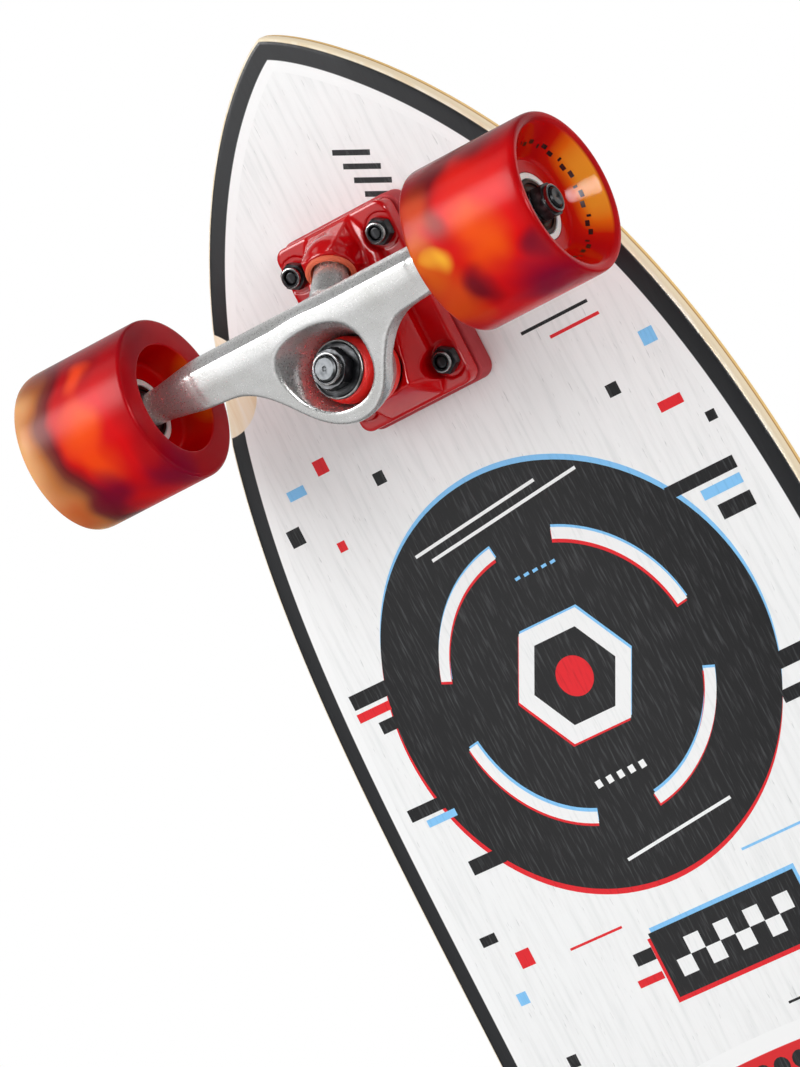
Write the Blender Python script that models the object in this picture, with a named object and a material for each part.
"""A pointed-nose cruiser skateboard, built piece by piece in metres.

+X points to the nose and +Z up. The board stands on its wheels at z = 0, and the origin is under
the middle of its length. Each truck is drawn in its own frame: the middle of the baseplate's
bottom face is the origin, +x runs to the pivot, and z falls towards the ground.
"""

import math

import bmesh
import bpy
from mathutils import Matrix, Vector

# General clearance between two pieces that touch
GAP = 0.0003

# Deck
DECK_LENGTH = 0.813
DECK_WIDTH = 0.2368
DECK_THICKNESS = 0.0096
DECK_EDGE_ROUND = 0.0024
NOSE_TAPER = 0.366
NOSE_FULLNESS = 3.32
NOSE_POINT = 0.793
TAIL_WIDTH = 0.172
TAIL_TAPER_START = 0.400
TAIL_TAPER_END = 0.745
TAIL_CAP = 0.082
TAIL_SQUARENESS = 2.5
CONCAVE_FLAT = 0.056
CONCAVE_RISE = 0.0107
KICK_AFTER_BOLTS = 0.018
KICK_RADIUS = 0.160
KICK_ANGLE = math.radians(18.5)
GRIP_THICKNESS = 0.0008
GRIP_INSET = 0.0026
GRIP_CLEARANCE = 0.00045
WELL_LENGTH = 0.045
WELL_REACH = 0.019
WELL_DEPTH = 0.0034
WELL_SHIFT = 0.0018

# Truck places
NOSE_TO_TRUCK = 0.1133
TRUCK_SPACING = 0.4985

# Mounting bolts
BOLT_SPACING_LONG = 0.05398
BOLT_SPACING_WIDE = 0.0413
BOLT_RADIUS = 0.0024
BOLT_HEAD_RADIUS = 0.0048
BOLT_HEAD_HEIGHT = 0.0028
BOLT_CLEARANCE = 0.0004
BOLT_NUT_FLATS = 0.0095
BOLT_NUT_HEX = 0.0042
BOLT_NUT_HEIGHT = 0.0062
BOLT_NUT_COLLAR = 0.0040
BOLT_END_SHORT = 0.0010

# Riser pad
RISER_THICKNESS = 0.0095
RISER_MARGIN = 0.0010

# Baseplate
PLATE_LENGTH = 0.0768
PLATE_WIDTH = 0.0530
PLATE_FLANGE = 0.0078
PLATE_CORNER = 0.0045
BLOCK_WIDTH = 0.0340
BLOCK_HEIGHT = 0.0120
NUT_ROOM_RADIUS = 0.0070
NUT_SEAT_DEPTH = 0.0004
BOSS_LENGTH = 0.0200
BOSS_WIDTH = 0.0190
PIVOT_HOUSING_RADIUS = 0.0104
PIVOT_HOUSING_FRONT = 0.0050

# Axle and hanger
AXLE_DROP = 0.0500
AXLE_OFFSET = 0.0068
AXLE_RADIUS = 0.00397
AXLE_STICKOUT = 0.0008
HANGER_LENGTH = 0.1594
HANGER_END_RADIUS = 0.0066
WING_HALF = 0.0097
WING_STRAIGHT = 0.104
RIDGE_HEIGHT = 0.0098
RING_LENGTH = 0.0181
RING_WIDTH = 0.0220
RING_CENTRE = -0.0125
ROOF_SLOPE = 0.30
ROOF_SIDE_SLOPE = 0.13
ROOF_CROWN = 0.0070
FLARE_REACH = 0.0520
WEB_INSET = 0.0030
POCKET_LENGTH = 0.0152
POCKET_WIDTH = 0.0212
POCKET_CENTRE = -0.0118

# Kingpin and bushings, stacked along the kingpin from the baseplate's bottom
KINGPIN_FOOT = -0.0255
KINGPIN_LEAN = math.radians(15.5)
KINGPIN_RADIUS = 0.00476
KINGPIN_HEAD_FLATS = 0.0143
KINGPIN_HEAD_START = 0.0030
KINGPIN_HEAD_HEIGHT = 0.0056
KINGPIN_SEAT = 0.0213
KINGPIN_STICKOUT = 0.0010
KINGPIN_CLEARANCE = 0.0003
WASHER_THICKNESS = 0.0018
WASHER_RIM = 0.0009
WASHER_RECESS = 0.0009
BOARD_WASHER_RADIUS = 0.0097
ROAD_WASHER_RADIUS = 0.0112
BUSHING_RADIUS = 0.01265
BOARD_BUSHING_FOOT = 0.0096
ROAD_BUSHING_TOP = 0.0110
BOARD_BUSHING_HEIGHT = 0.0080
ROAD_BUSHING_HEIGHT = 0.0110
BUSHING_SHOULDER = 0.0032
RING_PLATE = 0.0055
RING_HOLE_CLEARANCE = 0.0017
RING_UNDERSIDE_RADIUS = 0.0142
KINGPIN_NUT_FLATS = 0.0143
KINGPIN_NUT_HEX = 0.0052
KINGPIN_NUT_HEIGHT = 0.0072
KINGPIN_NUT_COLLAR = 0.0061

# Pivot
PIVOT_OFFSET = 0.0249
PIVOT_DROP = 0.0162
STEM_SLOPE = math.radians(50)
STEM_RADIUS = 0.0061
STEM_LENGTH = 0.0260
CUP_BALL_CLEARANCE = 0.0005
CUP_MOUTH_CLEARANCE = 0.0011
CUP_WALL = 0.0014
CUP_LIP = 0.0010

# Wheel, core and bearings
WHEEL_RADIUS = 0.0325
WHEEL_WIDTH = 0.0530
WHEEL_SIDES = 28
LIP_WIDTH = 0.0045
LIP_ROUND = 0.0035
DISH_DEPTH = 0.0120
DISH_STEP_RADIUS = 0.0200
INNER_RECESS_RADIUS = 0.0220
CORE_RADIUS = 0.0135
CORE_SHOULDER_RADIUS = 0.0090
CORE_SHOULDER_WIDTH = 0.0110
BEARING_RADIUS = 0.0110
BEARING_WIDTH = 0.0070
BEARING_CHAMFER = 0.0005
BORE_CLEARANCE = 0.00035
SPEED_WASHER_SPACE = 0.0014
AXLE_NUT_FLATS = 0.0127
AXLE_NUT_HEX = 0.0048
AXLE_NUT_HEIGHT = 0.0066
AXLE_NUT_COLLAR = 0.0055

# Roundness of small turned pieces
SMALL_SIDES = 16
CORE_SIDES = 18
BUSHING_SIDES = 20
BOLT_SIDES = 10
NUT_SIDES = 12

# Worked out from the sizes above
AXLE_HEIGHT = WHEEL_RADIUS * math.cos(math.pi / WHEEL_SIDES)
PLATE_Z = AXLE_HEIGHT + AXLE_DROP
RISER_Z = PLATE_Z + GAP
DECK_Z = RISER_Z + RISER_THICKNESS + GAP
NOSE_X = DECK_LENGTH / 2
FRONT_X = NOSE_X - NOSE_TO_TRUCK
REAR_X = FRONT_X - TRUCK_SPACING
KICK_START = NOSE_TO_TRUCK + TRUCK_SPACING + BOLT_SPACING_LONG / 2 + KICK_AFTER_BOLTS
CONCAVE = CONCAVE_RISE / (DECK_WIDTH / 2) ** 2

BOARD_WASHER_S = KINGPIN_SEAT + GAP
BOARD_BUSHING_S = BOARD_WASHER_S + WASHER_THICKNESS + GAP
RING_S = BOARD_BUSHING_S + BOARD_BUSHING_HEIGHT + GAP
ROAD_BUSHING_S = RING_S + RING_PLATE + GAP
ROAD_WASHER_S = ROAD_BUSHING_S + ROAD_BUSHING_HEIGHT + GAP
KINGPIN_NUT_S = ROAD_WASHER_S + WASHER_THICKNESS + GAP
KINGPIN_END_S = KINGPIN_NUT_S + KINGPIN_NUT_HEIGHT + KINGPIN_STICKOUT

CUP_OUTER = STEM_RADIUS + CUP_BALL_CLEARANCE + CUP_WALL

AXLE_POINT = Vector((AXLE_OFFSET, 0, -AXLE_DROP))
PIVOT_POINT = Vector((PIVOT_OFFSET, 0, -PIVOT_DROP))

CORE_WIDTH = CORE_SHOULDER_WIDTH + 2 * (GAP + BEARING_WIDTH) + GAP
BEARING_MID = CORE_SHOULDER_WIDTH / 2 + GAP + BEARING_WIDTH / 2
BEARING_FACE = BEARING_MID + BEARING_WIDTH / 2
WHEEL_Y = HANGER_LENGTH / 2 + SPEED_WASHER_SPACE + BEARING_FACE
AXLE_NUT_Y = WHEEL_Y + BEARING_FACE + SPEED_WASHER_SPACE
AXLE_HALF = AXLE_NUT_Y + AXLE_NUT_HEIGHT + AXLE_STICKOUT


def clear_scene():
    for item in list(bpy.data.objects):
        bpy.data.objects.remove(item, do_unlink=True)


def material(name, colour, roughness, metallic=0.0):
    made = bpy.data.materials.new(name)
    made.use_nodes = True
    shader = made.node_tree.nodes["Principled BSDF"]
    shader.inputs["Base Color"].default_value = (*colour, 1.0)
    shader.inputs["Roughness"].default_value = roughness
    shader.inputs["Metallic"].default_value = metallic
    made.diffuse_color = (*colour, 1.0)
    return made


def mesh_from(bm, name):
    """The finished mesh of a bmesh, with its normals out and its round faces smooth."""
    bmesh.ops.remove_doubles(bm, verts=bm.verts, dist=1e-6)
    bmesh.ops.recalc_face_normals(bm, faces=bm.faces)
    mesh = bpy.data.meshes.new(name)
    bm.to_mesh(mesh)
    bm.free()
    mesh.shade_smooth()
    mesh.set_sharp_from_angle(angle=math.radians(35))
    return mesh


def combined(base, *steps):
    """base after each (operation, mesh) Boolean step in turn."""
    for operation, tool in steps:
        body = bpy.data.objects.new("body", base)
        other = bpy.data.objects.new("tool", tool)
        bpy.context.scene.collection.objects.link(body)
        bpy.context.scene.collection.objects.link(other)
        modifier = body.modifiers.new("cut", "BOOLEAN")
        modifier.operation = operation
        modifier.object = other
        graph = bpy.context.evaluated_depsgraph_get()
        result = bpy.data.meshes.new_from_object(body.evaluated_get(graph))
        bpy.data.objects.remove(body)
        bpy.data.objects.remove(other)
        base = result
    base.shade_smooth()
    base.set_sharp_from_angle(angle=math.radians(35))
    return base


def turned(name, profile, sides, frame=None):
    """The solid that a closed (radius, z) profile sweeps about +Z, with a flat facing sideways."""
    bm = bmesh.new()
    half = math.pi / sides
    start = Matrix.Rotation(half, 3, "Z")
    points = [bm.verts.new(start @ Vector((radius, 0, z))) for radius, z in profile]
    edges = [bm.edges.new((points[i - 1], points[i])) for i in range(len(points))]
    bmesh.ops.spin(
        bm,
        geom=points + edges,
        axis=(0, 0, 1),
        cent=(0, 0, 0),
        angle=2 * math.pi,
        steps=sides,
        use_merge=True,
    )
    bmesh.ops.remove_doubles(bm, verts=bm.verts, dist=1e-6)
    on_axis = [e for e in bm.edges if all(v.co.xy.length < 1e-7 for v in e.verts)]
    bmesh.ops.delete(bm, geom=on_axis, context="EDGES")
    if frame is not None:
        bmesh.ops.transform(bm, matrix=frame, verts=bm.verts)
    return mesh_from(bm, name)


def prism(name, outline, low, high):
    """The solid between two heights over a plan outline."""
    bm = bmesh.new()
    face = bm.faces.new([bm.verts.new((x, y, low)) for x, y in outline])
    raised = bmesh.ops.extrude_face_region(bm, geom=[face])
    moved = [item for item in raised["geom"] if isinstance(item, bmesh.types.BMVert)]
    bmesh.ops.translate(bm, vec=(0, 0, high - low), verts=moved)
    return mesh_from(bm, name)


def hull(name, points):
    """The convex solid around a set of points."""
    bm = bmesh.new()
    for point in points:
        bm.verts.new(point)
    made = bmesh.ops.convex_hull(bm, input=bm.verts)
    inside = [v for v in made["geom_interior"] if isinstance(v, bmesh.types.BMVert)]
    bmesh.ops.delete(bm, geom=inside, context="VERTS")
    return mesh_from(bm, name)


def loft(name, rings):
    """The solid through a row of rings with the same number of points."""
    bm = bmesh.new()
    rows = [[bm.verts.new(point) for point in ring] for ring in rings]
    for low, high in zip(rows, rows[1:]):
        for i in range(len(low)):
            bm.faces.new((low[i - 1], low[i], high[i], high[i - 1]))
    bm.faces.new(rows[0])
    bm.faces.new(rows[-1])
    return mesh_from(bm, name)


def disc(centre, frame, radius, sides, stretch=1.0):
    """Points of a circle, or of an ellipse stretched along y, in a rotated frame."""
    steps = [2 * math.pi * (i + 0.5) / sides for i in range(sides)]
    return [
        centre + frame @ Vector((radius * math.cos(a), radius * stretch * math.sin(a), 0))
        for a in steps
    ]


def rounded_rectangle(length, width, corner, steps=4):
    points = []
    for turn in range(4):
        x_sign = 1 if turn in (0, 3) else -1
        y_sign = 1 if turn < 2 else -1
        centre = (x_sign * (length / 2 - corner), y_sign * (width / 2 - corner))
        for step in range(steps + 1):
            angle = math.pi / 2 * (turn + step / steps)
            points.append(
                (centre[0] + corner * math.cos(angle), centre[1] + corner * math.sin(angle))
            )
    return points


def cylinder(name, radius, low, high, sides, frame=None):
    return turned(name, [(0, high), (radius, high), (radius, low), (0, low)], sides, frame)


def lock_nut(name, flats, hex_height, height, collar, bore, frame=None):
    """A hexagon nut with a round collar at its free end, standing on z = 0."""
    corner = flats / math.sqrt(3)
    bore_corner = bore / math.cos(math.pi / NUT_SIDES)
    outline = [
        (corner * math.cos(math.pi / 3 * i), corner * math.sin(math.pi / 3 * i)) for i in range(6)
    ]
    body = combined(
        prism(name, outline, 0, hex_height),
        ("UNION", cylinder(name, collar, hex_height / 2, height, NUT_SIDES)),
        ("DIFFERENCE", cylinder(name, bore_corner, -height, 2 * height, NUT_SIDES)),
    )
    if frame is not None:
        body.transform(frame)
    return body


def bolt_places():
    """The four bolt positions about the middle of a truck."""
    for side in (1, -1):
        for end in (1, -1):
            yield end * BOLT_SPACING_LONG / 2, side * BOLT_SPACING_WIDE / 2


# Frames along the kingpin and along the pivot stem, from each one's board-side end
KINGPIN_FRAME = Matrix.Translation((KINGPIN_FOOT, 0, 0)) @ Matrix.Rotation(
    math.pi - KINGPIN_LEAN, 4, "Y"
)
RING_POINT = KINGPIN_FRAME @ Vector((0, 0, RING_S + RING_PLATE / 2))
STEM_DIRECTION = Vector((-math.cos(STEM_SLOPE), 0, -math.sin(STEM_SLOPE)))
PIVOT_FRAME = Matrix.Translation(PIVOT_POINT) @ Matrix.Rotation(
    math.atan2(STEM_DIRECTION.x, STEM_DIRECTION.z), 4, "Y"
)


def deck_half_width(t):
    """Half the deck's width at a distance t behind the tip of the nose."""
    full = DECK_WIDTH / 2
    if t < NOSE_TAPER:
        return full * (1 - (1 - t / NOSE_TAPER) ** NOSE_FULLNESS) ** NOSE_POINT
    half = full
    if t > TAIL_TAPER_START:
        share = min(1.0, (t - TAIL_TAPER_START) / (TAIL_TAPER_END - TAIL_TAPER_START))
        half -= (full - TAIL_WIDTH / 2) * (1 - math.cos(math.pi * share)) / 2
    past = (t - (DECK_LENGTH - TAIL_CAP)) / TAIL_CAP
    if past > 0:
        half *= max(0.0, 1 - min(past, 1.0) ** TAIL_SQUARENESS) ** (1 / TAIL_SQUARENESS)
    return half


def deck_stations():
    """Distances from the tip at which the outline has a point, closest together at both ends."""
    nose = [NOSE_TAPER * (i / 17) ** 2 for i in range(18)]
    cap_start = DECK_LENGTH - TAIL_CAP
    middle = [NOSE_TAPER + (cap_start - NOSE_TAPER) * i / 10 for i in range(1, 11)]
    cap = [
        cap_start + TAIL_CAP * math.sin(math.pi / 2 * i / 8) ** (2 / TAIL_SQUARENESS)
        for i in range(1, 9)
    ]
    return nose + middle + cap


def deck_outline(inset=0.0):
    """The plan outline, from the nose down one side and back up the other."""
    side = [(NOSE_X - t, deck_half_width(t)) for t in deck_stations()]
    outline = side + [(x, -y) for x, y in reversed(side[1:-1])]
    if not inset:
        return outline
    step = inset * inward(outline)
    moved = []
    for i, (x, y) in enumerate(outline):
        before = Vector(outline[i - 1])
        after = Vector(outline[(i + 1) % len(outline)])
        along = (after - before).normalized()
        moved.append((x - along.y * step, y + along.x * step))
    return moved


def inward(outline):
    """+1 if the left of the outline's direction is its inside, and -1 if not."""
    pairs = zip(outline, outline[1:] + outline[:1])
    area = sum(a[0] * b[1] - b[0] * a[1] for a, b in pairs)
    return 1 if area > 0 else -1


def bend(x, y):
    """How far the concave and the kicktail lift a point of the flat deck."""
    lift = CONCAVE * max(0.0, y * y - (CONCAVE_FLAT / 2) ** 2)
    past = NOSE_X - x - KICK_START
    arc = KICK_RADIUS * math.sin(KICK_ANGLE)
    if past > arc:
        lift += KICK_RADIUS * (1 - math.cos(KICK_ANGLE)) + (past - arc) * math.tan(KICK_ANGLE)
    elif past > 0:
        lift += KICK_RADIUS - math.sqrt(KICK_RADIUS**2 - past**2)
    return lift


def bent_plate(name, outline, low, thickness, edge_round=0.0):
    """A plate over the outline, rounded at its edges, sliced into a grid and bent."""
    bm = bmesh.new()
    face = bm.faces.new([bm.verts.new((x, y, 0)) for x, y in outline])
    raised = bmesh.ops.extrude_face_region(bm, geom=[face])
    moved = [item for item in raised["geom"] if isinstance(item, bmesh.types.BMVert)]
    bmesh.ops.translate(bm, vec=(0, 0, thickness), verts=moved)
    if edge_round:
        rims = [e for e in bm.edges if abs(e.verts[0].co.z - e.verts[1].co.z) < 1e-6]
        bmesh.ops.bevel(
            bm, geom=rims, offset=edge_round, segments=2, profile=0.5, affect="EDGES"
        )
    arc = KICK_RADIUS * math.sin(KICK_ANGLE)
    kick_cuts = [NOSE_X - KICK_START - arc * i / 5 for i in range(6)]
    flat_cuts = [NOSE_X - KICK_START * i / 7 for i in range(1, 7)]
    side_cuts = [DECK_WIDTH / 2 * share for share in (0.52, 0.80)]
    lines = [CONCAVE_FLAT / 2, *side_cuts]
    planes = [((x, 0, 0), (1, 0, 0)) for x in kick_cuts + flat_cuts]
    planes += [((0, side * y, 0), (0, 1, 0)) for y in lines for side in (1, -1)]
    for point, normal in planes:
        everything = bm.verts[:] + bm.edges[:] + bm.faces[:]
        bmesh.ops.bisect_plane(bm, geom=everything, dist=1e-6, plane_co=point, plane_no=normal)
    for vert in bm.verts:
        vert.co.z += low + bend(vert.co.x, vert.co.y)
    return mesh_from(bm, name)


def well_cutter(truck_x, end, side):
    """A long shallow roller that leaves a scoop at the deck's lower edge over one wheel."""
    middle_x = truck_x + end * WELL_SHIFT
    edge_y = deck_half_width(NOSE_X - middle_x)
    radius = (WELL_LENGTH / 2) ** 2 / (2 * WELL_DEPTH)
    tilt = math.atan2(WELL_DEPTH, WELL_REACH)
    edge_z = DECK_Z + bend(middle_x, edge_y - WELL_REACH / 2)
    slope = math.atan(2 * CONCAVE * (edge_y - WELL_REACH / 2))
    frame = (
        Matrix.Translation((middle_x, side * edge_y, edge_z + WELL_DEPTH / 2))
        @ Matrix.Rotation(side * (tilt + slope), 4, "X")
        @ Matrix.Translation((0, 0, -radius + WELL_DEPTH / 2))
        @ Matrix.Rotation(math.pi / 2, 4, "X")
    )
    return cylinder("well", radius, -2 * WELL_REACH, 2 * WELL_REACH, 96, frame)


def deck_mesh():
    deck = bent_plate("deck", deck_outline(), DECK_Z, DECK_THICKNESS, DECK_EDGE_ROUND)
    top = DECK_Z + DECK_THICKNESS
    hole = BOLT_RADIUS + BOLT_CLEARANCE
    sink = BOLT_HEAD_RADIUS + BOLT_CLEARANCE
    cuts = []
    for truck_x, end in ((FRONT_X, 1), (REAR_X, -1)):
        for x, y in bolt_places():
            profile = [
                (0, top + sink),
                (sink + sink, top + sink),
                (sink, top),
                (hole, top - BOLT_HEAD_HEIGHT),
                (hole, DECK_Z - hole),
                (0, DECK_Z - hole),
            ]
            place = Matrix.Translation((truck_x + x, y, 0))
            cuts.append(("DIFFERENCE", turned("bolt_hole", profile, BOLT_SIDES, place)))
        for side in (1, -1):
            cuts.append(("DIFFERENCE", well_cutter(truck_x, end, side)))
    return combined(deck, *cuts)


def grip_mesh():
    low = DECK_Z + DECK_THICKNESS + GRIP_CLEARANCE
    sheet = bent_plate("grip_tape", deck_outline(GRIP_INSET), low, GRIP_THICKNESS)
    hole = BOLT_HEAD_RADIUS + BOLT_CLEARANCE
    cuts = []
    for truck_x in (FRONT_X, REAR_X):
        for x, y in bolt_places():
            place = Matrix.Translation((truck_x + x, y, low))
            tool = cylinder("hole", hole, -hole, hole, BOLT_SIDES, place)
            cuts.append(("DIFFERENCE", tool))
    return combined(sheet, *cuts)


def riser_mesh():
    outline = rounded_rectangle(
        PLATE_LENGTH + 2 * RISER_MARGIN,
        PLATE_WIDTH + 2 * RISER_MARGIN,
        PLATE_CORNER + RISER_MARGIN,
    )
    pad = prism("riser_pad", outline, GAP, GAP + RISER_THICKNESS)
    hole = BOLT_RADIUS + BOLT_CLEARANCE
    cuts = []
    for x, y in bolt_places():
        place = Matrix.Translation((x, y, 0))
        tool = cylinder("hole", hole, -hole, RISER_THICKNESS + hole, BOLT_SIDES, place)
        cuts.append(("DIFFERENCE", tool))
    return combined(pad, *cuts)


def block_points():
    """Corners of the raised block, with the kingpin boss on its tail half."""
    half, wide = PLATE_LENGTH / 2, BLOCK_WIDTH / 2
    low = -PLATE_FLANGE - GAP
    top = KINGPIN_SEAT + WASHER_RECESS
    points = []
    for side in (1, -1):
        edge = (
            (half - 0.0010, wide * 0.62, low),
            (half * 0.80, wide * 0.86, -(PLATE_FLANGE + BLOCK_HEIGHT) / 2),
            (half * 0.60, wide, -BLOCK_HEIGHT),
            (-half * 0.82, wide, -BLOCK_HEIGHT),
            (-half + 0.0010, wide * 0.74, low),
        )
        for x, y, z in edge:
            points.append((x, side * y, z))
            points.append((x, side * y, -PLATE_FLANGE / 2))
        for along, across in ((0.5, 1.0), (-0.5, 0.9)):
            spot = Vector((along * BOSS_LENGTH, side * across * BOSS_WIDTH / 2, top))
            points.append(KINGPIN_FRAME @ spot)
    return points


def housing_points():
    """Corners of the pivot housing: a round mouth on the stem's line, a ball back and a foot."""
    tilted = PIVOT_FRAME.to_3x3()
    mouth = PIVOT_POINT + STEM_DIRECTION * PIVOT_HOUSING_FRONT
    foot = Vector((PIVOT_POINT.x, 0, -PLATE_FLANGE / 2))
    points = disc(mouth, tilted, PIVOT_HOUSING_RADIUS * 0.95, SMALL_SIDES)
    for angle in (math.pi / 2, math.pi / 3, math.pi / 6):
        centre = PIVOT_POINT - STEM_DIRECTION * PIVOT_HOUSING_RADIUS * math.cos(angle)
        points += disc(centre, tilted, PIVOT_HOUSING_RADIUS * math.sin(angle), SMALL_SIDES)
    points += disc(foot, Matrix.Identity(3), PIVOT_HOUSING_RADIUS * 1.15, SMALL_SIDES)
    return [Vector((x, y, min(z, foot.z))) for x, y, z in points]


def ball_profile(radius):
    """The quarter circle from a ball's side to its bottom."""
    steps = (math.pi / 2, math.pi / 3, math.pi / 6, 0)
    return [(radius * math.sin(angle), -radius * math.cos(angle)) for angle in steps]


def at_bolts(name, radius, low, high):
    """A round cutter at each of a truck's four bolt positions."""
    return [
        cylinder(name, radius, low, high, BOLT_SIDES, Matrix.Translation((x, y, 0)))
        for x, y in bolt_places()
    ]


def baseplate_mesh():
    """The cast plate: flange, raised block, kingpin boss and pivot housing, with their bores."""
    flange = prism(
        "baseplate",
        rounded_rectangle(PLATE_LENGTH, PLATE_WIDTH, PLATE_CORNER),
        -PLATE_FLANGE,
        0,
    )
    tall = 4 * BLOCK_HEIGHT
    head_room = KINGPIN_HEAD_FLATS / math.sqrt(3) + 2 * KINGPIN_CLEARANCE
    head_top = KINGPIN_HEAD_START + KINGPIN_HEAD_HEIGHT + GAP
    bore = KINGPIN_RADIUS + KINGPIN_CLEARANCE
    washer_room = BOARD_WASHER_RADIUS + 2 * GAP
    socket = CUP_OUTER + GAP
    kingpin_room = [
        (0, tall),
        (washer_room, tall),
        (washer_room, KINGPIN_SEAT),
        (bore, KINGPIN_SEAT),
        (bore, head_top),
        (head_room, head_top),
        (head_room, -tall),
        (0, -tall),
    ]
    cup_room = [
        (0, tall),
        (socket + CUP_LIP, tall),
        (socket + CUP_LIP, PIVOT_HOUSING_FRONT),
        (socket, PIVOT_HOUSING_FRONT),
        *ball_profile(socket),
    ]
    cuts = at_bolts("nut_room", NUT_ROOM_RADIUS, -tall, -PLATE_FLANGE + NUT_SEAT_DEPTH)
    cuts += at_bolts("bolt_hole", BOLT_RADIUS + BOLT_CLEARANCE, -tall, tall)
    cuts.append(turned("kingpin_room", kingpin_room, SMALL_SIDES, KINGPIN_FRAME))
    cuts.append(turned("cup_room", cup_room, SMALL_SIDES, PIVOT_FRAME))
    joined = [
        ("UNION", hull("block", block_points())),
        ("UNION", hull("housing", housing_points())),
    ]
    return combined(flange, *joined, *[("DIFFERENCE", tool) for tool in cuts])


def pivot_cup_mesh():
    """A urethane cup in the socket: a lip on the housing's mouth, and a ball-ended hollow."""
    mouth = STEM_RADIUS + CUP_MOUTH_CLEARANCE
    lip = PIVOT_HOUSING_FRONT + GAP
    inside = ball_profile(STEM_RADIUS + CUP_BALL_CLEARANCE)
    outside = ball_profile(CUP_OUTER)
    profile = [
        *outside,
        *reversed(inside),
        (mouth, lip + CUP_LIP),
        (CUP_OUTER + CUP_LIP, lip + CUP_LIP),
        (CUP_OUTER + CUP_LIP, lip),
        (CUP_OUTER, lip),
    ]
    return turned("pivot_cup", profile, SMALL_SIDES, PIVOT_FRAME)


def kingpin_mesh():
    corner = KINGPIN_HEAD_FLATS / math.sqrt(3)
    outline = [
        (corner * math.cos(math.pi / 3 * i), corner * math.sin(math.pi / 3 * i)) for i in range(6)
    ]
    head = prism("head", outline, KINGPIN_HEAD_START, KINGPIN_HEAD_START + KINGPIN_HEAD_HEIGHT)
    shank = cylinder(
        "kingpin", KINGPIN_RADIUS, KINGPIN_HEAD_START + GAP, KINGPIN_END_S, SMALL_SIDES
    )
    body = combined(shank, ("UNION", head))
    body.transform(KINGPIN_FRAME)
    return body


def board_washer_mesh():
    """A flat washer in the boss's recess."""
    bore = KINGPIN_RADIUS + KINGPIN_CLEARANCE
    start, end = BOARD_WASHER_S, BOARD_WASHER_S + WASHER_THICKNESS
    radius = BOARD_WASHER_RADIUS
    profile = [(bore, start), (bore, end), (radius, end), (radius, start)]
    return turned("board_side_washer", profile, BUSHING_SIDES, KINGPIN_FRAME)


def road_washer_mesh():
    """A washer with its rim bent down to the bushing."""
    bore = KINGPIN_RADIUS + KINGPIN_CLEARANCE
    start, end = ROAD_WASHER_S, ROAD_WASHER_S + WASHER_THICKNESS
    radius = ROAD_WASHER_RADIUS
    profile = [
        (bore, start),
        (bore, end),
        (radius - WASHER_RIM, end),
        (radius, start + WASHER_RIM),
        (radius - WASHER_RIM, start),
    ]
    return turned("road_side_washer", profile, BUSHING_SIDES, KINGPIN_FRAME)


def bushing_mesh(start, height, end_radius, wide_end):
    """A bushing along the kingpin: full width at the ring, drawn in past a shoulder."""
    bore = KINGPIN_RADIUS + KINGPIN_CLEARANCE
    wide = start + height if wide_end > 0 else start
    narrow = start if wide_end > 0 else start + height
    shoulder = wide - wide_end * (height - BUSHING_SHOULDER)
    profile = [
        (bore, wide),
        (bore, narrow),
        (end_radius, narrow),
        (BUSHING_RADIUS, shoulder),
        (BUSHING_RADIUS, wide),
    ]
    return turned("bushing", profile, BUSHING_SIDES, KINGPIN_FRAME)


def wing_section(y):
    """The hanger's cross-section at a distance y from its middle: round ends, a taller middle."""
    straight = WING_STRAIGHT / 2
    share = min(1.0, max(0.0, (HANGER_LENGTH / 2 - abs(y)) / (HANGER_LENGTH / 2 - straight)))
    share = share * share * (3 - 2 * share)
    across = HANGER_END_RADIUS + (WING_HALF - HANGER_END_RADIUS) * share
    drop = HANGER_END_RADIUS + (RIDGE_HEIGHT - HANGER_END_RADIUS) * share
    ring = []
    for i in range(NUT_SIDES):
        angle = 2 * math.pi * i / NUT_SIDES
        ring.append(AXLE_POINT + Vector((across * math.cos(angle), y, -drop * math.sin(angle))))
    return ring


def flare_outline():
    """The plan of the ring and the two webs that flare from it into the wing."""
    tangent_angle = math.radians(123)
    ring = [
        Vector(
            (
                RING_CENTRE + RING_LENGTH * math.cos(angle),
                RING_WIDTH * math.sin(angle),
            )
        )
        for angle in (math.pi + (tangent_angle - math.pi) * i / 5 for i in range(6))
    ]
    start = ring[-1]
    along = Vector(
        (
            RING_LENGTH * math.sin(tangent_angle),
            -RING_WIDTH * math.cos(tangent_angle),
        )
    ).normalized()
    wing_edge = AXLE_OFFSET - WING_HALF
    end = Vector((wing_edge, FLARE_REACH))
    pull = (FLARE_REACH - RING_WIDTH) / 2
    handle_a = start + along * pull * 0.9
    handle_b = end - Vector((0, pull * 1.2))
    flare = []
    for i in range(1, 7):
        s = i / 6
        flare.append(
            (1 - s) ** 3 * start
            + 3 * s * (1 - s) ** 2 * handle_a
            + 3 * s * s * (1 - s) * handle_b
            + s**3 * end
        )
    side = ring + flare + [Vector((AXLE_OFFSET, FLARE_REACH))]
    return side + [Vector((p.x, -p.y)) for p in reversed(side[1:])]


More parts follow.
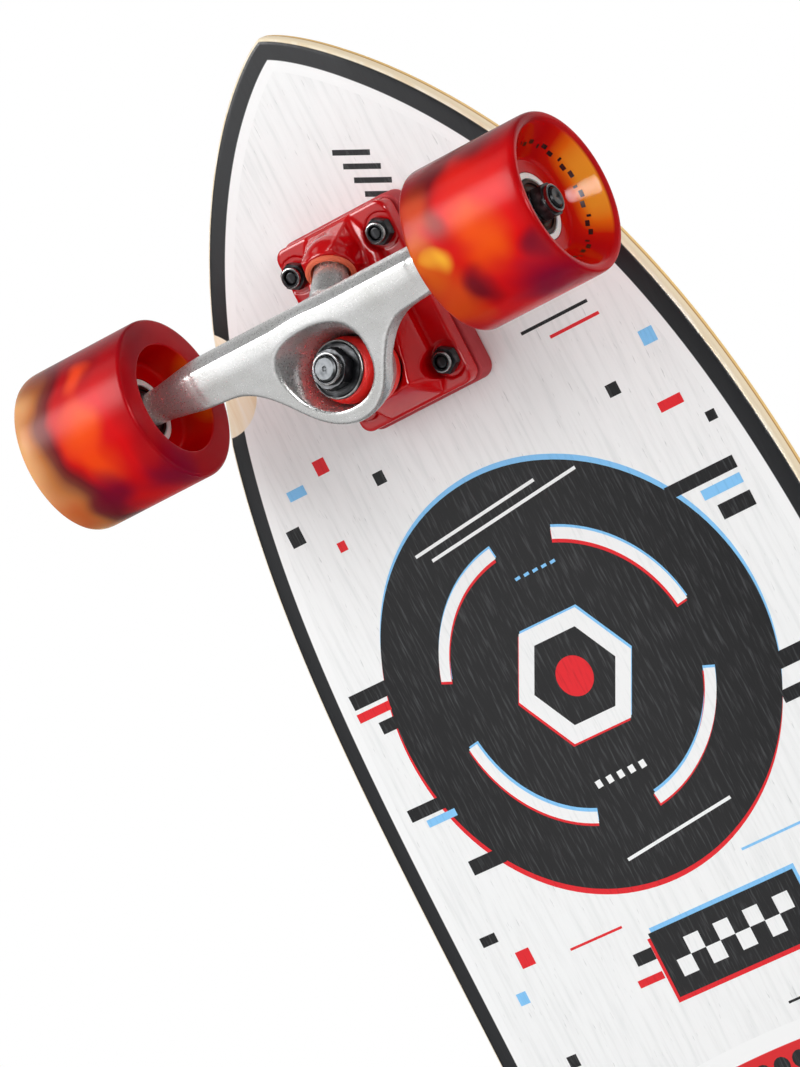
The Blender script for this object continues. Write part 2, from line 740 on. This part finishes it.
def flare_low_point(point):
    """Where the ring or web ends below a point of its plan outline."""
    away = Vector((point.x - RING_CENTRE, point.y))
    seat = KINGPIN_FRAME @ Vector((0, 0, RING_S))
    flat = away * min(1.0, RING_UNDERSIDE_RADIUS / away.length)
    on_ring = seat + KINGPIN_FRAME.to_3x3() @ Vector((-flat.x, flat.y, 0))
    on_web = Vector((point.x + WEB_INSET, point.y * 0.97, -AXLE_DROP + WING_HALF * 0.25))
    share = (abs(point.y) - RING_WIDTH * 0.80) / (FLARE_REACH - RING_WIDTH * 0.80)
    share = min(1.0, max(0.0, share * 2.0))
    return on_ring.lerp(on_web, share * share * (3 - 2 * share))


def flare_mesh():
    """Ring and webs: a plan outline, drawn in at the bushing seat and roofed by planes."""
    outline = flare_outline()
    low_ring = [flare_low_point(point) for point in outline]
    high = -AXLE_DROP - 2 * RIDGE_HEIGHT
    rows = [low_ring]
    for share in (0.35, 1.0):
        row = []
        for point, low in zip(outline, low_ring):
            flat = low.xy.lerp(point, min(1.0, share * 2.2))
            row.append(Vector((flat.x, flat.y, low.z + (high - low.z) * share)))
        rows.append(row)
    bm = bmesh.new()
    levels = [[bm.verts.new(point) for point in row] for row in rows]
    for low, top in zip(levels, levels[1:]):
        for i in range(len(low)):
            bm.faces.new((low[i - 1], low[i], top[i], top[i - 1]))
    low_middle = flare_low_point(Vector(((RING_CENTRE + AXLE_OFFSET) / 2, 0)))
    for row, spot in ((levels[0], low_middle), (levels[-1], (low_middle.x, 0, high))):
        middle = bm.verts.new(spot)
        for i in range(len(row)):
            bm.faces.new((row[i - 1], row[i], middle))
    bmesh.ops.recalc_face_normals(bm, faces=bm.faces)
    peak = Vector((AXLE_OFFSET, 0, -AXLE_DROP - RIDGE_HEIGHT * 0.98))
    roof = [(peak, Vector((-ROOF_SLOPE, 0, -1)))]
    for side in (1, -1):
        shoulder = peak + Vector((0, side * ROOF_CROWN, 0))
        roof.append((shoulder, Vector((-ROOF_SLOPE, side * ROOF_SIDE_SLOPE, -1))))
    for point, normal in roof:
        everything = bm.verts[:] + bm.edges[:] + bm.faces[:]
        cut = bmesh.ops.bisect_plane(
            bm, geom=everything, dist=1e-6, plane_co=point, plane_no=normal, clear_outer=True
        )
        rim = [item for item in cut["geom_cut"] if isinstance(item, bmesh.types.BMEdge)]
        bmesh.ops.holes_fill(bm, edges=rim, sides=0)
    return mesh_from(bm, "flare")


def neck_points():
    """The neck's corners: a disc on the stem, and a patch under the wing and the ring."""
    stem_end = PIVOT_POINT + STEM_DIRECTION * STEM_LENGTH * 0.72
    points = disc(stem_end, PIVOT_FRAME.to_3x3(), STEM_RADIUS, SMALL_SIDES)
    wing_low = -AXLE_DROP + WING_HALF * 0.8
    seat = KINGPIN_FRAME @ Vector((0, 0, RING_S))
    for side in (1, -1):
        points.append(Vector((AXLE_OFFSET + WING_HALF * 0.5, side * STEM_RADIUS * 1.6, wing_low)))
        points.append(Vector((AXLE_OFFSET - WING_HALF * 0.6, side * STEM_RADIUS * 2.2, wing_low)))
        points.append(Vector((seat.x + RING_UNDERSIDE_RADIUS, side * STEM_RADIUS, seat.z)))
    return points


def hanger_mesh():
    """The cast hanger: wing, ring, webs, neck and stem, less pocket, ring hole and axle bore."""
    half = HANGER_LENGTH / 2
    straight = WING_STRAIGHT / 2
    side = [straight * 0.5, straight] + [straight + (half - straight) * i / 3 for i in (1, 2, 3)]
    places = [-y for y in reversed(side)] + [0.0] + side
    wing = loft("hanger", [wing_section(y) for y in places])
    outline = [(0, STEM_LENGTH), (STEM_RADIUS, STEM_LENGTH), *ball_profile(STEM_RADIUS)]
    stem = turned("stem", outline, SMALL_SIDES, PIVOT_FRAME)
    seat = KINGPIN_FRAME @ Vector((0, 0, RING_S + RING_PLATE))
    across = KINGPIN_FRAME.to_3x3()
    pocket = disc(seat, across, BUSHING_RADIUS + 3 * GAP, 24)
    rim_tilt = Matrix.Rotation(math.atan(ROOF_SLOPE), 3, "Y")
    peak = -AXLE_DROP - RIDGE_HEIGHT
    rim_z = peak + (AXLE_OFFSET - POCKET_CENTRE) * ROOF_SLOPE + 0.0015
    for grow, lift in ((1.0, 0.0), (1.15, 0.010)):
        middle = Vector((POCKET_CENTRE, 0, rim_z - lift))
        stretch = POCKET_WIDTH / POCKET_LENGTH
        pocket += disc(middle, rim_tilt, POCKET_LENGTH * grow, 24, stretch)
    ring_hole = KINGPIN_RADIUS + RING_HOLE_CLEARANCE
    bore = AXLE_RADIUS + GAP
    axle_frame = Matrix.Translation(AXLE_POINT) @ Matrix.Rotation(math.pi / 2, 4, "X")
    return combined(
        wing,
        ("UNION", flare_mesh()),
        ("UNION", hull("neck", neck_points())),
        ("UNION", stem),
        ("DIFFERENCE", hull("pocket", pocket)),
        (
            "DIFFERENCE",
            cylinder("ring_hole", ring_hole, RING_S - 0.01, RING_S + 0.03, 20, KINGPIN_FRAME),
        ),
        ("DIFFERENCE", cylinder("bore", bore, -half - GAP, half + GAP, BOLT_SIDES, axle_frame)),
    )


def tyre_mesh():
    """The urethane, dished outboard (+z) and recessed inboard, about a straight core bore."""
    half = WHEEL_WIDTH / 2
    bore = CORE_RADIUS + GAP
    lip = WHEEL_RADIUS - LIP_WIDTH
    core_half = CORE_WIDTH / 2
    profile = [
        (bore, core_half + GAP),
        (DISH_STEP_RADIUS * 0.94, core_half + GAP * 4),
        (DISH_STEP_RADIUS, half - DISH_DEPTH + 0.0020),
        (lip - 0.0010, half - 0.0035),
        (lip + 0.0010, half),
        (WHEEL_RADIUS - LIP_ROUND * 0.55, half - LIP_ROUND * 0.20),
        (WHEEL_RADIUS, half - LIP_ROUND),
        (WHEEL_RADIUS, -half + LIP_ROUND),
        (WHEEL_RADIUS - LIP_ROUND * 0.25, -half + LIP_ROUND * 0.30),
        (WHEEL_RADIUS - LIP_ROUND * 0.75, -half),
        (INNER_RECESS_RADIUS, -half),
        (INNER_RECESS_RADIUS * 0.88, -core_half - GAP * 4),
        (bore, -core_half - GAP),
    ]
    return turned("wheel", profile, WHEEL_SIDES)


def core_mesh():
    """The nylon core: a tube with a shoulder that keeps its two bearings apart."""
    half = CORE_WIDTH / 2
    seat = BEARING_RADIUS + GAP
    shoulder = CORE_SHOULDER_WIDTH / 2
    profile = [
        (seat, half),
        (CORE_RADIUS, half),
        (CORE_RADIUS, -half),
        (seat, -half),
        (seat, -shoulder),
        (CORE_SHOULDER_RADIUS, -shoulder),
        (CORE_SHOULDER_RADIUS, shoulder),
        (seat, shoulder),
    ]
    return turned("wheel_core", profile, CORE_SIDES)


def bearing_mesh():
    bore = AXLE_RADIUS + BORE_CLEARANCE
    half = BEARING_WIDTH / 2
    profile = [
        (bore, half),
        (BEARING_RADIUS - BEARING_CHAMFER, half),
        (BEARING_RADIUS, half - BEARING_CHAMFER),
        (BEARING_RADIUS, -half + BEARING_CHAMFER),
        (BEARING_RADIUS - BEARING_CHAMFER, -half),
        (bore, -half),
    ]
    return turned("bearing", profile, CORE_SIDES)


def bolt_mesh():
    """A countersunk bolt, its head's top face at z = 0."""
    reach = DECK_THICKNESS + RISER_THICKNESS + 2 * GAP + PLATE_FLANGE + GAP + BOLT_NUT_HEIGHT
    end = -(reach - BOLT_END_SHORT)
    profile = [
        (0, 0),
        (BOLT_HEAD_RADIUS, 0),
        (BOLT_HEAD_RADIUS, -BOLT_CLEARANCE / 2),
        (BOLT_RADIUS, -BOLT_HEAD_HEIGHT),
        (BOLT_RADIUS, end),
        (0, end),
    ]
    return turned("mounting_bolt", profile, BOLT_SIDES)


def place(name, mesh, finish, parent=None, location=(0, 0, 0), turn=(0, 0, 0)):
    """A new object that wears its own finish; pieces of one kind may share a mesh."""
    item = bpy.data.objects.new(name, mesh)
    bpy.context.scene.collection.objects.link(item)
    if not mesh.materials:
        mesh.materials.append(None)
    item.material_slots[0].link = "OBJECT"
    item.material_slots[0].material = finish
    item.parent = parent
    item.location = location
    item.rotation_euler = turn
    return item


def axis_marker(name, location, parent=None, turn=(0, 0, 0)):
    marker = bpy.data.objects.new(name, None)
    bpy.context.scene.collection.objects.link(marker)
    marker.parent = parent
    marker.location = location
    marker.rotation_euler = turn
    return marker


def about(mesh, point):
    """The mesh, moved so that a point of the truck's frame becomes its origin."""
    mesh.transform(Matrix.Translation(-Vector(point)))
    return mesh


def build_finishes():
    urethane_red = (0.55, 0.010, 0.008)
    return {
        "maple": material("maple_deck", (0.80, 0.78, 0.74), 0.45),
        "grip": material("grip_grit", (0.02, 0.02, 0.02), 0.95),
        "riser": material("riser_rubber", (0.42, 0.03, 0.03), 0.6),
        "paint": material("red_paint", (0.50, 0.008, 0.012), 0.22),
        "cast": material("cast_aluminium", (0.78, 0.78, 0.77), 0.38, 1.0),
        "black": material("black_steel", (0.02, 0.02, 0.022), 0.38, 0.6),
        "steel": material("zinc_steel", (0.55, 0.55, 0.54), 0.35, 1.0),
        "bushing": material("bushing_urethane", (0.60, 0.015, 0.010), 0.35),
        "cup": material("pivot_cup_urethane", (0.62, 0.05, 0.015), 0.35),
        "tyre": material("wheel_urethane", urethane_red, 0.28),
        "core": material("core_nylon", (0.82, 0.82, 0.80), 0.45),
        "bearing": material("bearing_steel", (0.25, 0.25, 0.25), 0.30, 1.0),
    }


def build_shared_meshes():
    """Meshes that both trucks use, each drawn once."""
    collar_bore = BOLT_RADIUS + GAP
    return {
        "riser_pad": riser_mesh(),
        "baseplate": baseplate_mesh(),
        "pivot_cup": pivot_cup_mesh(),
        "kingpin": kingpin_mesh(),
        "board_washer": board_washer_mesh(),
        "road_washer": road_washer_mesh(),
        "board_bushing": bushing_mesh(
            BOARD_BUSHING_S, BOARD_BUSHING_HEIGHT, BOARD_BUSHING_FOOT, 1
        ),
        "road_bushing": bushing_mesh(ROAD_BUSHING_S, ROAD_BUSHING_HEIGHT, ROAD_BUSHING_TOP, -1),
        "kingpin_nut": lock_nut(
            "kingpin_nut",
            KINGPIN_NUT_FLATS,
            KINGPIN_NUT_HEX,
            KINGPIN_NUT_HEIGHT,
            KINGPIN_NUT_COLLAR,
            KINGPIN_RADIUS + KINGPIN_CLEARANCE,
            KINGPIN_FRAME @ Matrix.Translation((0, 0, KINGPIN_NUT_S)),
        ),
        "hanger": about(hanger_mesh(), RING_POINT),
        "axle": cylinder("axle", AXLE_RADIUS, -AXLE_HALF, AXLE_HALF, BOLT_SIDES),
        "tyre": tyre_mesh(),
        "core": core_mesh(),
        "bearing": bearing_mesh(),
        "axle_nut": lock_nut(
            "axle_nut",
            AXLE_NUT_FLATS,
            AXLE_NUT_HEX,
            AXLE_NUT_HEIGHT,
            AXLE_NUT_COLLAR,
            AXLE_RADIUS + GAP,
        ),
        "bolt": bolt_mesh(),
        "bolt_nut": lock_nut(
            "mounting_nut",
            BOLT_NUT_FLATS,
            BOLT_NUT_HEX,
            BOLT_NUT_HEIGHT,
            BOLT_NUT_COLLAR,
            collar_bore,
        ),
    }


def build_truck(label, truck_x, turn, meshes, finishes):
    """One truck with its riser, fasteners and two wheels, under a marker at its baseplate."""
    truck = axis_marker(f"{label}_truck_origin", (truck_x, 0, PLATE_Z), turn=(0, 0, turn))
    fixed = (
        ("riser_pad", "riser_pad", "riser"),
        ("baseplate", "baseplate", "paint"),
        ("pivot_cup", "pivot_cup", "cup"),
        ("kingpin", "kingpin", "steel"),
        ("board_side_washer", "board_washer", "black"),
        ("board_side_bushing", "board_bushing", "bushing"),
        ("road_side_bushing", "road_bushing", "bushing"),
        ("road_side_washer", "road_washer", "black"),
        ("kingpin_nut", "kingpin_nut", "black"),
    )
    for piece, mesh, finish in fixed:
        place(f"{label}_{piece}", meshes[mesh], finishes[finish], truck)
    corners = ("nose_left", "tail_left", "nose_right", "tail_right")
    bolt_top = DECK_Z + DECK_THICKNESS - PLATE_Z
    for corner, (x, y) in zip(corners, bolt_places()):
        spot = truck.matrix_basis.to_3x3() @ Vector((x, y, 0))
        along = "nose" if spot.x > 0 else "tail"
        across = "left" if spot.y > 0 else "right"
        name = f"{label}_{along}_{across}"
        place(f"{name}_bolt", meshes["bolt"], finishes["black"], truck, (x, y, bolt_top))
        nut_turn = (math.pi, 0, math.pi / 6)
        nut_spot = (x, y, -PLATE_FLANGE + NUT_SEAT_DEPTH - GAP)
        place(f"{name}_nut", meshes["bolt_nut"], finishes["black"], truck, nut_spot, nut_turn)
    steer = axis_marker(f"{label}_steer_axis", RING_POINT, truck)
    place(f"{label}_hanger", meshes["hanger"], finishes["cast"], steer)
    axle = axis_marker(f"{label}_axle_line", AXLE_POINT - RING_POINT, steer)
    place(f"{label}_axle", meshes["axle"], finishes["steel"], axle, turn=(math.pi / 2, 0, 0))
    for local_side in (1, -1):
        side = "left" if local_side * math.cos(turn) > 0 else "right"
        outward = (-local_side * math.pi / 2, 0, 0)
        hub = axis_marker(
            f"{label}_{side}_hub", (0, local_side * WHEEL_Y, 0), axle, turn=outward
        )
        place(f"{label}_{side}_wheel", meshes["tyre"], finishes["tyre"], hub)
        place(f"{label}_{side}_wheel_core", meshes["core"], finishes["core"], hub)
        for name, z in (("outer", BEARING_MID), ("inner", -BEARING_MID)):
            piece = f"{label}_{side}_{name}_bearing"
            place(piece, meshes["bearing"], finishes["bearing"], hub, (0, 0, z))
        nut_spot = (0, local_side * AXLE_NUT_Y, 0)
        piece = f"{label}_{side}_axle_nut"
        place(piece, meshes["axle_nut"], finishes["black"], axle, nut_spot, outward)


def main():
    clear_scene()
    finishes = build_finishes()
    meshes = build_shared_meshes()
    place("deck", deck_mesh(), finishes["maple"])
    place("grip_tape", grip_mesh(), finishes["grip"])
    build_truck("front", FRONT_X, 0.0, meshes, finishes)
    build_truck("rear", REAR_X, math.pi, meshes, finishes)
    bpy.context.view_layer.update()


main()
